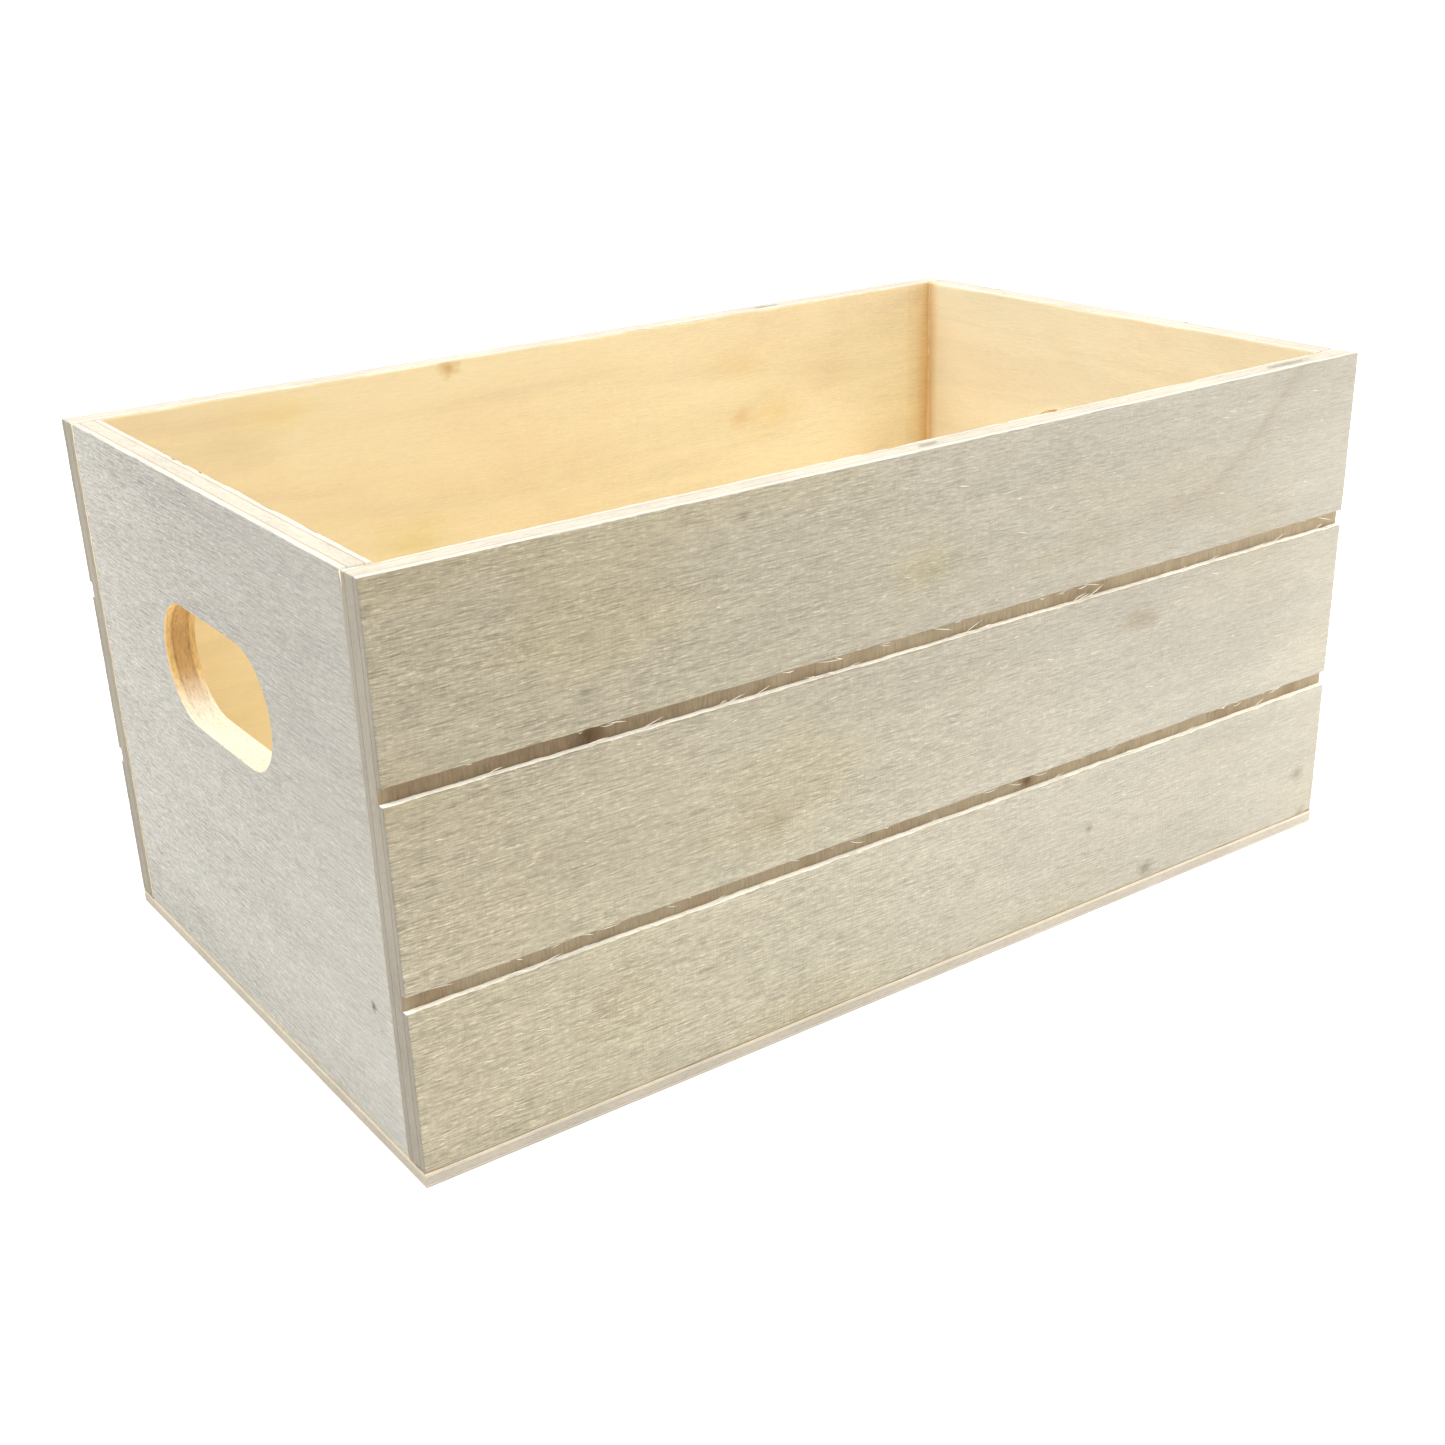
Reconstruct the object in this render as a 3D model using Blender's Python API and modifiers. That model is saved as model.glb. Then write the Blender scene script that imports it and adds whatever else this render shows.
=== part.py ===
"""A small plywood apple crate.

Two grooved long panels cover the ends of two end panels that have a handle slot each. A thin
base board lies under all four walls and is bradded up into them. The grooves are milled into
the outer faces of the long panels, so that each one reads as a row of slats.

The origin is on the surface that the crate stands on, below its centre. X runs along the
crate, Y from its front to its back, and Z up. All sizes are in metres.
"""

import math

import bmesh
import bpy

# The crate as a whole
CRATE_LENGTH = 0.216
CRATE_WIDTH = 0.127
CRATE_HEIGHT = 0.102

# The boards
WALL_THICKNESS = 0.0056
BASE_THICKNESS = 0.0025
GLUE_LINE = 0.0003  # between two glued boards
ARRIS = 0.0004  # how far an outer edge is eased back by sanding

# The grooves that divide a long panel into mock slats of one height
SLATS = 3
GROOVE_HEIGHT = 0.003
GROOVE_DEPTH = 0.0015

# The handle slots, with fully round ends
SLOT_LENGTH = 0.046
SLOT_HEIGHT = 0.0223
SLOT_BELOW_RIM = 0.0238  # from the rim down to the slot's upper edge
SLOT_SEGMENTS = 48

# The brads that hold the base
BRAD_LENGTH = 0.012
BRAD_SHANK_RADIUS = 0.0005
BRAD_HEAD_RADIUS = 0.0009
BRAD_HEAD_THICKNESS = 0.0005
BRAD_TIP_LENGTH = 0.0012
BRAD_SET = 0.0004  # how deep its head is punched below the base's underside
BRAD_CLEARANCE = 0.0003
BRAD_SEGMENTS = 16
BRADS_PER_LONG_PANEL = 4
BRADS_PER_END_PANEL = 2
BRAD_INSET = 0.02  # from the end of the wall to its first brad

OVERRUN = 0.002  # how far a cutter passes the face that it cuts through

# Places that follow from the sizes above
HALF_LENGTH = CRATE_LENGTH / 2
HALF_WIDTH = CRATE_WIDTH / 2
WALL_BOTTOM = BASE_THICKNESS + GLUE_LINE
END_PANEL_HALF_WIDTH = HALF_WIDTH - WALL_THICKNESS - GLUE_LINE
SLAT_HEIGHT = (CRATE_HEIGHT - (SLATS - 1) * GROOVE_HEIGHT) / SLATS
SLOT_CENTRE_HEIGHT = CRATE_HEIGHT - SLOT_BELOW_RIM - SLOT_HEIGHT / 2

NEARLY = 1e-6  # two coordinates closer than this are the same


def clear_scene():
    """Remove the objects that the file starts with."""
    for old in list(bpy.data.objects):
        bpy.data.objects.remove(old, do_unlink=True)


def new_collection(name):
    collection = bpy.data.collections.new(name)
    bpy.context.scene.collection.children.link(collection)
    return collection


def new_material(name, colour, roughness, metallic=0.0):
    material = bpy.data.materials.new(name)
    material.use_nodes = True
    shader = material.node_tree.nodes["Principled BSDF"]
    shader.inputs["Base Color"].default_value = (*colour, 1.0)
    shader.inputs["Roughness"].default_value = roughness
    shader.inputs["Metallic"].default_value = metallic
    return material


def new_object(name, mesh, collection, location):
    piece = bpy.data.objects.new(name, mesh)
    piece.location = location
    collection.objects.link(piece)
    return piece


def box_mesh(name, size, eased=None):
    """A box about the origin. eased(a, b) picks the edges, from a to b, that are eased."""
    shape = bmesh.new()
    bmesh.ops.create_cube(shape, size=1.0)
    bmesh.ops.scale(shape, vec=size, verts=shape.verts)
    if eased:
        edges = [edge for edge in shape.edges if eased(edge.verts[0].co, edge.verts[1].co)]
        bmesh.ops.bevel(shape, geom=edges, offset=ARRIS, segments=1, affect="EDGES")
    mesh = bpy.data.meshes.new(name)
    shape.to_mesh(mesh)
    shape.free()
    return mesh


def new_board(name, low, high, material, eased=None):
    """A board between two corners, with its origin at its middle."""
    size = [b - a for a, b in zip(low, high)]
    middle = [(a + b) / 2 for a, b in zip(low, high)]
    mesh = box_mesh(name, size, eased)
    mesh.materials.append(material)
    return new_object(name, mesh, crate, middle)


def new_cutter(name, mesh, collection, location):
    cutter = new_object(name, mesh, collection, location)
    cutter.hide_render = True
    cutter.display_type = "WIRE"
    return cutter


def cut(piece, name, cutter=None, collection=None):
    """Take a cutter, or a collection of them, out of a piece."""
    boolean = piece.modifiers.new(name, "BOOLEAN")
    boolean.operation = "DIFFERENCE"
    boolean.solver = "EXACT"
    if collection:
        boolean.operand_type = "COLLECTION"
        boolean.collection = collection
    else:
        boolean.object = cutter


def turned(name, profile, collection, location):
    """Turn a profile of (radius, height) points, listed from top to bottom, about Z."""
    mesh = bpy.data.meshes.new(name)
    points = [(radius, 0.0, height) for radius, height in profile]
    mesh.from_pydata(points, [(i, i + 1) for i in range(len(points) - 1)], [])
    piece = new_object(name, mesh, collection, location)
    screw = piece.modifiers.new("turn", "SCREW")
    screw.axis = "Z"
    screw.steps = BRAD_SEGMENTS
    screw.render_steps = BRAD_SEGMENTS
    screw.use_merge_vertices = True
    screw.merge_threshold = 0.00001
    return piece


def groove_bottoms():
    """The height of each groove's lower edge."""
    return [i * (SLAT_HEIGHT + GROOVE_HEIGHT) - GROOVE_HEIGHT for i in range(1, SLATS)]


def long_panel(name, side, material):
    """The front panel, for a side of -1, or the back panel, for a side of +1."""
    half_height = (CRATE_HEIGHT - WALL_BOTTOM) / 2

    def eased(a, b):
        """The rim's two long edges, and the two outer corners of the crate."""
        rim = a.z > half_height - NEARLY and b.z > half_height - NEARLY
        along = abs(a.x - b.x) > NEARLY
        outer = a.y * side > 0 and b.y * side > 0
        upright = abs(a.z - b.z) > NEARLY
        return (rim and along) or (outer and upright)

    outer_face = side * HALF_WIDTH
    inner_face = side * (HALF_WIDTH - WALL_THICKNESS)
    low = (-HALF_LENGTH, min(outer_face, inner_face), WALL_BOTTOM)
    high = (HALF_LENGTH, max(outer_face, inner_face), CRATE_HEIGHT)
    panel = new_board(name, low, high, material, eased)
    size = (CRATE_LENGTH + 2 * OVERRUN, GROOVE_DEPTH + OVERRUN, GROOVE_HEIGHT)
    y = side * (HALF_WIDTH - GROOVE_DEPTH + size[1] / 2)
    for number, bottom in enumerate(groove_bottoms(), start=1):
        groove = f"{name}_groove_{number}"
        place = (0.0, y, bottom + GROOVE_HEIGHT / 2)
        cut(panel, groove, new_cutter(groove, box_mesh(groove, size), cutters, place))
    cut(panel, "brad_holes", collection=brad_holes)


def slot_mesh(name, depth):
    """A cylinder along X whose two halves are moved apart along Y: a bar with round ends."""
    shape = bmesh.new()
    radius = SLOT_HEIGHT / 2
    bmesh.ops.create_cone(shape, cap_ends=True, segments=SLOT_SEGMENTS,
                          radius1=radius, radius2=radius, depth=depth)
    straight = (SLOT_LENGTH - SLOT_HEIGHT) / 2
    half_step = math.pi / SLOT_SEGMENTS
    for vert in shape.verts:
        angle = math.atan2(vert.co.y, vert.co.x) + half_step
        across = radius * math.cos(angle)
        vert.co = (vert.co.z, across + math.copysign(straight, across), radius * math.sin(angle))
    mesh = bpy.data.meshes.new(name)
    shape.to_mesh(mesh)
    shape.free()
    return mesh


def end_panel(name, side, material):
    """The left end panel, for a side of -1, or the right one, for a side of +1."""
    half_height = (CRATE_HEIGHT - WALL_BOTTOM) / 2

    def eased(a, b):
        """The rim's two long edges."""
        rim = a.z > half_height - NEARLY and b.z > half_height - NEARLY
        return rim and abs(a.y - b.y) > NEARLY

    outer_face = side * HALF_LENGTH
    inner_face = side * (HALF_LENGTH - WALL_THICKNESS)
    low = (min(outer_face, inner_face), -END_PANEL_HALF_WIDTH, WALL_BOTTOM)
    high = (max(outer_face, inner_face), END_PANEL_HALF_WIDTH, CRATE_HEIGHT)
    panel = new_board(name, low, high, material, eased)
    slot = f"{name}_slot"
    mesh = slot_mesh(slot, WALL_THICKNESS + 2 * OVERRUN)
    place = ((outer_face + inner_face) / 2, 0.0, SLOT_CENTRE_HEIGHT)
    cut(panel, slot, new_cutter(slot, mesh, cutters, place))
    cut(panel, "brad_holes", collection=brad_holes)


def base_board(material):
    """The base, as long and as wide as the walls that stand on it."""
    low = (-HALF_LENGTH, -HALF_WIDTH, 0.0)
    high = (HALF_LENGTH, HALF_WIDTH, BASE_THICKNESS)
    board = new_board("base_board", low, high, material)
    cut(board, "brad_holes", collection=brad_holes)


def brad_profile():
    """A brad with its head at the bottom and its point at the top."""
    return [
        (0.0, BRAD_LENGTH),
        (BRAD_SHANK_RADIUS, BRAD_LENGTH - BRAD_TIP_LENGTH),
        (BRAD_SHANK_RADIUS, BRAD_HEAD_THICKNESS),
        (BRAD_HEAD_RADIUS, BRAD_HEAD_THICKNESS),
        (BRAD_HEAD_RADIUS, 0.0),
        (0.0, 0.0),
    ]


def hole_profile():
    """The hole that a brad and its punched head leave, open below the base."""
    hole_radius = BRAD_SHANK_RADIUS + BRAD_CLEARANCE
    sink_radius = BRAD_HEAD_RADIUS + BRAD_CLEARANCE
    hole_top = BRAD_LENGTH + BRAD_CLEARANCE
    sink_top = BRAD_HEAD_THICKNESS + BRAD_CLEARANCE
    hole_mouth = -(BRAD_SET + OVERRUN)
    return [
        (0.0, hole_top),
        (hole_radius, hole_top),
        (hole_radius, sink_top),
        (sink_radius, sink_top),
        (sink_radius, hole_mouth),
        (0.0, hole_mouth),
    ]


def evenly(count, reach):
    """Places from -reach to +reach, with the first and the last at its ends."""
    return [reach * (2 * i / (count - 1) - 1) for i in range(count)]


def brad_places():
    """The name and place of every brad, in the middle of the wall above it."""
    long_reach = HALF_LENGTH - BRAD_INSET
    end_reach = END_PANEL_HALF_WIDTH - BRAD_INSET
    long_line = HALF_WIDTH - WALL_THICKNESS / 2
    end_line = HALF_LENGTH - WALL_THICKNESS / 2
    places = []
    for wall, side in (("front", -1), ("back", 1)):
        for number, x in enumerate(evenly(BRADS_PER_LONG_PANEL, long_reach), start=1):
            places.append((f"base_brad_{wall}_{number}", (x, side * long_line, BRAD_SET)))
    for wall, side in (("left", -1), ("right", 1)):
        for number, y in enumerate(evenly(BRADS_PER_END_PANEL, end_reach), start=1):
            places.append((f"base_brad_{wall}_{number}", (side * end_line, y, BRAD_SET)))
    return places


def add_brads(material):
    """The brads, and a hole for each that the base and the walls share."""
    for name, place in brad_places():
        brad = turned(name, brad_profile(), crate, place)
        brad.data.materials.append(material)
        hole = turned(f"{name}_hole", hole_profile(), brad_holes, place)
        hole.hide_render = True
        hole.display_type = "WIRE"


clear_scene()
crate = new_collection("apple_crate")
cutters = new_collection("cutters")
brad_holes = new_collection("brad_hole_cutters")

add_brads(new_material("brad_steel", (0.55, 0.54, 0.52), 0.35, metallic=1.0))
long_panel("front_panel", -1, new_material("front_plywood", (0.62, 0.55, 0.42), 0.75))
long_panel("back_panel", 1, new_material("back_plywood", (0.63, 0.56, 0.43), 0.75))
end_panel("left_end_panel", -1, new_material("left_end_plywood", (0.66, 0.63, 0.55), 0.75))
end_panel("right_end_panel", 1, new_material("right_end_plywood", (0.66, 0.63, 0.55), 0.75))
base_board(new_material("base_plywood", (0.72, 0.62, 0.42), 0.75))
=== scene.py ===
"""The looks of a small plywood apple crate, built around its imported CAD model.

Every board is made again as a fine closed mesh of the CAD board's size. Its edges are eased
and worn, its surfaces are displaced inwards only, and it carries a point attribute called
"board": the distance along the board, the height on it and the depth below its outer face.
The materials read that attribute, so that grain and plies follow the board itself.
"""

import math

import bpy
import numpy as np
from mathutils import Matrix, Vector


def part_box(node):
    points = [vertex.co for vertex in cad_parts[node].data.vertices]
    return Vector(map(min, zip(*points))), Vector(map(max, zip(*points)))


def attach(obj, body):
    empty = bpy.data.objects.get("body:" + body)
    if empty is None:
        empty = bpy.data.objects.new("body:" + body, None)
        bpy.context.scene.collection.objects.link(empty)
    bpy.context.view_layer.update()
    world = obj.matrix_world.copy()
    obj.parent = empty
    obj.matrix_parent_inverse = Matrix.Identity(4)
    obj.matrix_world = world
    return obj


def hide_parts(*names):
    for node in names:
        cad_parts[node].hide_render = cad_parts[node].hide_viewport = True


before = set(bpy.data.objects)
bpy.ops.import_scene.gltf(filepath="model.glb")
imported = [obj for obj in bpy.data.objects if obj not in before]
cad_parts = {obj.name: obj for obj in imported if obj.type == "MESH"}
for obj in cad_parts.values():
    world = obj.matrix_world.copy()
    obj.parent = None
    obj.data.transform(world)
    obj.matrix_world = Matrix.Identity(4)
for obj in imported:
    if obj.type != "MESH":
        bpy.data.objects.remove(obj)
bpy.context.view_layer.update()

MM = 0.001

# Plywood: three plies, the face plies a quarter of the board each
FACE_PLY = 0.25

# Grids
PITCH = 0.8 * MM  # along a board
COARSE_PITCH = 1.2 * MM  # across a board
THROUGH_PITCH = 0.55 * MM  # through a board
EDGE_LINES = (0.0, 0.12 * MM, 0.28 * MM, 0.5 * MM, 0.8 * MM)  # in from an edge
MERGE = 0.05 * MM  # grid lines closer than this become one
SAME = 1e-9  # heights closer than this are the same row
CREASE = math.radians(48)  # edges sharper than this are shaded as sharp
BRAD_CREASE = math.radians(40)  # the same for the brads

# Wear
RIM_EASE = 0.5 * MM  # how far the rim's edges and the outer uprights are rounded
BUTT_EASE = 0.12 * MM  # the same on edges that meet another board
RELIEF = 0.10 * MM  # how deep the fuzzy grain is
WARP = 0.18 * MM  # how far a face is from flat
RAGGED = 0.22 * MM  # how far a groove's edge wanders
LEDGE_WEAR = 0.28 * MM  # how far a groove's lower lip is worn back
ROOF_WEAR = 0.05 * MM  # the same for its upper lip
PAINTED_LIGHT_LIP = 0.15 * MM  # how much of the face below a groove takes the ledge's pale painted light
SLOT_LIP = 0.28 * MM  # how far the handle slot's edges are rounded

# Feature sizes through a board, in mm, so large that a texture doesn't change with depth
PAST_BOARD = 900
FLAT = 9000

# The camera, fitted to the crate
LENS = 47.35
CAMERA_PLACE = (-0.21024, -0.29777, 0.18206)
CAMERA_AZIMUTH = 34.726
CAMERA_ELEVATION = -24.363
CAMERA_ROLL = -1.976
CAMERA_SHIFT = 0.0451

# The light: an even pale sky, and a wide softbox straight above
SKY = 0.57
SOFTBOX = 5.5
SOFTBOX_SPREAD = 80.0
SOFTBOX_TILT = -3.0  # degrees off the vertical, so that it shines a little towards the right
FILL_PLACE = (0.30, -0.22, 0.10)  # a small lamp off the front panel's right end
FILL_AIM = (0, 0, 0.05)
FILL_SIZE = 0.2
FILL_POWER = 0.57


# ---- numbers


def smooth(low, high, x):
    """0 below low, 1 above high, and a smooth step between."""
    t = np.clip((x - low) / (high - low), 0, 1)
    return t * t * (3 - 2 * t)


def lattice(i, j, seed):
    """A fixed random value from 0 to 1 for each pair of whole numbers."""
    h = (i * 374761393 + j * 668265263 + seed * 1442695041) & 0xFFFFFFFF
    h = ((h ^ (h >> 13)) * 1274126177) & 0xFFFFFFFF
    return ((h ^ (h >> 16)) & 0xFFFF) / 0xFFFF


def noise(u, v, seed):
    """Smooth noise from 0 to 1, with features about one unit across."""
    u, v = np.broadcast_arrays(np.asarray(u, float), np.asarray(v, float))
    i, j = np.floor(u).astype(np.int64), np.floor(v).astype(np.int64)
    a, b = smooth(0, 1, u - i), smooth(0, 1, v - j)
    low = lattice(i, j, seed) * (1 - a) + lattice(i + 1, j, seed) * a
    high = lattice(i, j + 1, seed) * (1 - a) + lattice(i + 1, j + 1, seed) * a
    return low * (1 - b) + high * b


def rough(u, v, seed, octaves=3):
    """Noise with finer and weaker layers on top, from 0 to 1."""
    weights = [0.5**k for k in range(octaves)]
    layers = [w * noise(u * 2**k, v * 2**k, seed + 17 * k) for k, w in enumerate(weights)]
    return sum(layers) / sum(weights)


def blob(a, h, place, size):
    """A soft spot: 1 in its middle, fading to 0 over its size along and across the board."""
    return np.exp(-(((a - place[0]) / size[0]) ** 2) - ((h - place[1]) / size[1]) ** 2)


def lines(low, high, pitch, fine=(), offsets=EDGE_LINES):
    """Grid lines from low to high, with closer ones at both ends and round the fine places."""
    found = list(np.linspace(low, high, max(2, int(round((high - low) / pitch)) + 1)))
    for offset in offsets:
        found += [low + offset, high - offset]
    for place in fine:
        found += [place + side * offset for offset in offsets for side in (-1, 1)]
    kept = [low]
    for value in sorted(x for x in found if low < x < high):
        if value - kept[-1] > MERGE and high - value > MERGE:
            kept.append(value)
    return np.array(kept + [high])


# ---- meshes


def sheet(index, flip):
    """The quads of a grid of point numbers."""
    quads = np.stack([index[:-1, :-1], index[1:, :-1], index[1:, 1:], index[:-1, 1:]], axis=-1)
    quads = quads.reshape(-1, 4)
    return quads[:, ::-1] if flip else quads


def box_grid(along, up, through):
    """The surface of a box-shaped lattice: its point places as (i, j, k), and quads by side."""
    on = np.zeros((along, up, through), bool)
    on[[0, -1]] = True
    on[:, [0, -1]] = True
    on[:, :, [0, -1]] = True
    index = np.full(on.shape, -1)
    index[on] = np.arange(on.sum())
    sides = {
        "outer": sheet(index[:, :, 0], False),
        "inner": sheet(index[:, :, -1], True),
        "low": sheet(index[:, 0, :], True),
        "rim": sheet(index[:, -1, :], False),
        "start": sheet(index[0], False),
        "end": sheet(index[-1], True),
    }
    return np.argwhere(on), sides


def ease(points, low, high, radius):
    """Round the edges of the box from low to high, by a radius given for each point."""
    radius = radius[:, None]
    core = np.clip(points, low + radius, high - radius)
    away = points - core
    length = np.linalg.norm(away, axis=1, keepdims=True)
    out = core + away / np.maximum(length, 1e-12) * radius
    return np.where(length > radius * 0.999, out, points)


def new_object(name, data):
    thing = bpy.data.objects.new(name, data)
    bpy.context.scene.collection.objects.link(thing)
    return thing


def add_mesh(name, points, quads, materials, slots, board=None, stain_and_shade=None):
    """An object with smooth faces, sharp creases and a closed surface."""
    mesh = bpy.data.meshes.new(name)
    mesh.from_pydata(points.tolist(), [], quads.tolist())
    for material in materials:
        mesh.materials.append(material)
    mesh.polygons.foreach_set("material_index", np.asarray(slots, np.int32))
    for attribute, values in (("board", board), ("stain_and_shade", stain_and_shade)):
        if values is not None:
            layer = mesh.attributes.new(attribute, "FLOAT_VECTOR", "POINT")
            layer.data.foreach_set("vector", np.asarray(values, np.float32).ravel())
    mesh.shade_smooth()
    mesh.set_sharp_from_angle(angle=CREASE)
    mesh.validate()
    return new_object(name, mesh)


def glue_lines(thickness):
    """The depths at which two plies meet."""
    return FACE_PLY * thickness, (1 - FACE_PLY) * thickness


def turned(points, quarters):
    """Points turned about Z by so many quarter turns."""
    angle = quarters * math.pi / 2
    turn = np.array(Matrix.Rotation(angle, 3, "Z"))
    return points @ turn.T


def fuzzy_grain(a, h, seed):
    return rough(a / (7 * MM), h / (1.6 * MM), seed + 52)


def edge_wear(a, t, seed):
    return RIM_EASE * (0.55 + 0.9 * noise(a / (9 * MM), t / (2 * MM), seed + 41))


# ---- long panels


def cad_points(node):
    return np.array([v.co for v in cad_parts[node].data.vertices])


def groove_edges(node):
    """The grooves of a long panel as (low, high), and their depth, read from its CAD mesh."""
    low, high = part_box(node)
    co = cad_points(node)
    outer = high.y if abs(high.y) > abs(low.y) else low.y
    depths = np.abs(co[:, 1] - outer)
    thickness = high.y - low.y
    at_end = np.abs(co[:, 0]) > high.x - 0.1 * MM  # clear of the brad holes
    floor = at_end & (depths > 1.0 * MM) & (depths < thickness / 2)
    heights = sorted({round(float(z), 6) for z in co[floor, 2]})
    pairs = [(a, b) for a, b in zip(heights[::2], heights[1::2])]
    return pairs, float(np.median(depths[floor]))


def groove_profile(bottom, top, grooves, depth):
    """Rows up the outer face: height, depth below the face, and whether it is in a groove."""
    steps = np.linspace(0, 1, 6)
    rows = []
    start = bottom
    for low, high in grooves:
        rows += [(z, 0.0, 0) for z in lines(start, low, COARSE_PITCH)[:-1]]
        rows += [(low, depth * s, 1) for s in steps]
        rows += [(z, depth, 1) for z in np.linspace(low, high, 8)[1:-1]]
        rows += [(high, depth * (1 - s), 1) for s in steps[:-1]]
        start = high
    rows += [(z, 0.0, 0) for z in lines(start, top, COARSE_PITCH)]
    height, sunk, groove = (np.array(column) for column in zip(*rows))
    return height, sunk, groove.astype(bool)


def inner_heights(height, sunk, grooves, bottom, top):
    """A height on the inner face for each outer row, spread so that the rows never cross."""
    run = np.concatenate([[0], np.cumsum(np.hypot(np.diff(height), np.diff(sunk)))])
    at, to = [0.0], [bottom]
    for low, high in grooves:
        ledge = np.where(np.abs(height - low) < SAME)[0]
        roof = np.where(np.abs(height - high) < SAME)[0]
        at += [run[ledge[0]], run[ledge[-1]], run[roof[0]], run[roof[-1]]]
        to += [low - 0.9 * MM, low - 0.05 * MM, high + 0.05 * MM, high + 0.9 * MM]
    return np.interp(run, at + [run[-1]], to + [top])


def wander_edges(a, h, t, up, cut, outer, grooves, depth, seed):
    """Heights and depths with the grooves' edges moved about and each lip worn a little."""
    near_face = 1 - smooth(depth, depth + 1.5 * MM, t)
    for n, edge in enumerate(z for pair in grooves for z in pair):
        wander = rough(a / (2.2 * MM), n, seed + 31) + 0.6 * noise(a / (14 * MM), n, seed + 32) - 0.8
        h = h + RAGGED * wander * near_face * np.exp(-(((h - edge) / (1.1 * MM)) ** 2))
        lip = np.exp(-np.abs(up - edge) / (0.35 * MM)) * (cut < depth * 0.1)
        worn = ROOF_WEAR if n % 2 else LEDGE_WEAR
        t = t + outer * lip * worn * (0.4 + rough(a / (1.5 * MM), n, seed + 33))
    return h, t


def long_slots(sides, up, cut, grooves):
    """The finish of each quad: 5 on the ledges and just below them (painted light), 3 in the grooves, 0, 1, 2
    or 4 elsewhere.
    """
    slots = []
    for side, faces in sides.items():
        if side == "outer":
            foot = sum(np.abs(up - edge) < SAME for edge, _ in grooves) > 0
            lip = sum((up <= edge) & (up > edge - PAINTED_LIGHT_LIP) for edge, _ in grooves) > 0
            # Painted light: the ledges and the lip just below them take the pale ledge finish.
            painted_light = foot[faces].all(axis=1) | lip[faces].all(axis=1)
            sunk = (cut > 0)[faces].any(axis=1)
            slots.append(np.where(painted_light, 5, np.where(sunk, 3, 0)))
        else:
            slots.append(np.full(len(faces), {"inner": 1, "start": 4, "end": 4}.get(side, 2)))
    return np.concatenate(slots)


def long_panel(node, name, quarters, seed, materials, marks):
    """A full-length board with ragged grooves in its outer face."""
    low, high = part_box(node)
    length, thickness = high.x - low.x, high.y - low.y
    grooves, depth = groove_edges(node)
    along = lines(-length / 2, length / 2, PITCH)
    height, sunk, in_groove = groove_profile(low.z, high.z, grooves, depth)
    through = lines(0, thickness, THROUGH_PITCH, fine=glue_lines(thickness))
    inner = inner_heights(height, sunk, grooves, low.z, high.z)
    place, sides = box_grid(len(along), len(height), len(through))
    i, j, k = place.T
    share = through[k] / thickness
    a = along[i]
    h = height[j] * (1 - share) + inner[j] * share
    t = sunk[j] + (thickness - sunk[j]) * share
    outer, inside, on_rim = k == 0, k == len(through) - 1, j == len(height) - 1
    up, cut = height[j], sunk[j]
    h, t = wander_edges(a, h, t, up, cut, outer, grooves, depth, seed)

    # Cross fibres stand up from the groove floor and its ledge
    floor = outer & in_groove[j] & (cut > depth * 0.1)
    t = t - floor * 0.22 * MM * rough(a / (0.9 * MM), h / (3 * MM), seed + 34)

    low_corner = np.array([-length / 2, low.z, 0.0])
    high_corner = np.array([length / 2, high.z, thickness])
    points = np.stack([a, h, np.clip(t, 0, thickness)], axis=1)
    board = points.copy()
    wear = edge_wear(a, t, seed)
    radius = np.where(h > high.z - 3 * MM, wear, BUTT_EASE)
    radius = np.where((np.abs(a) > length / 2 - 3 * MM) & (t < thickness / 2), wear * 0.8, radius)
    eased = ease(points, low_corner, high_corner, radius)
    flat_rows = ~(outer & (cut > 0))
    points = np.where(flat_rows[:, None], eased, points)

    # Faces: a slight warp, fuzzy grain along the board, and pits where fibres tore out
    warp = WARP * rough(a / (45 * MM), h / (30 * MM), seed + 51)
    grain = RELIEF * fuzzy_grain(a, h, seed)
    fuzz = 0.6 + 1.0 * np.exp(-(((a + length / 2 - 22 * MM) / (26 * MM)) ** 2)) * (h < 34 * MM)
    plain = outer & (cut == 0)
    points[:, 2] += plain * (warp + grain * fuzz + tear_outs(a, h, marks, length))
    points[:, 2] -= inside * (warp + 0.5 * grain)

    # The rim: saw waves, nicks and a void in the core ply
    saw = 0.12 * MM * rough(a / (5 * MM), t / (0.8 * MM), seed + 61)
    nick = 0.45 * MM * smooth(0.74, 0.84, noise(a / (2.6 * MM), t / (1.4 * MM), seed + 62))
    points[:, 1] -= on_rim * (saw + nick * smooth(1.0 * MM, 0.2 * MM, np.minimum(t, thickness - t)))
    points[:, 1] -= on_rim * core_voids(a, t, thickness, marks)
    cap = (i == 0) * 1.0 - (i == len(along) - 1) * 1.0
    points[:, 0] += cap * 0.10 * MM * rough(h / (0.9 * MM), t / (0.7 * MM), seed + 63)

    points = np.clip(points, low_corner, high_corner)
    reach_y = max(abs(low.y), abs(high.y))
    world = np.stack([points[:, 0], points[:, 2] - reach_y, points[:, 1]], axis=1)
    stain_and_shade = marks["stain_and_shade"](a, h) if "stain_and_shade" in marks else None
    piece = add_mesh(name, turned(world, quarters), np.concatenate(list(sides.values())), materials,
                     long_slots(sides, up, cut, grooves), board, stain_and_shade)
    finish_piece(piece, node)


def tear_outs(a, h, marks, length):
    """Short pits along the grain. Each is (from the left end, height, length), and 0.35 mm deep."""
    depth = np.zeros_like(a)
    for left, z, size in marks.get("tears", ()):
        depth += 0.35 * MM * blob(a, h, (left * MM - length / 2, z * MM), (size * MM / 2, 0.7 * MM))
    return depth


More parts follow.
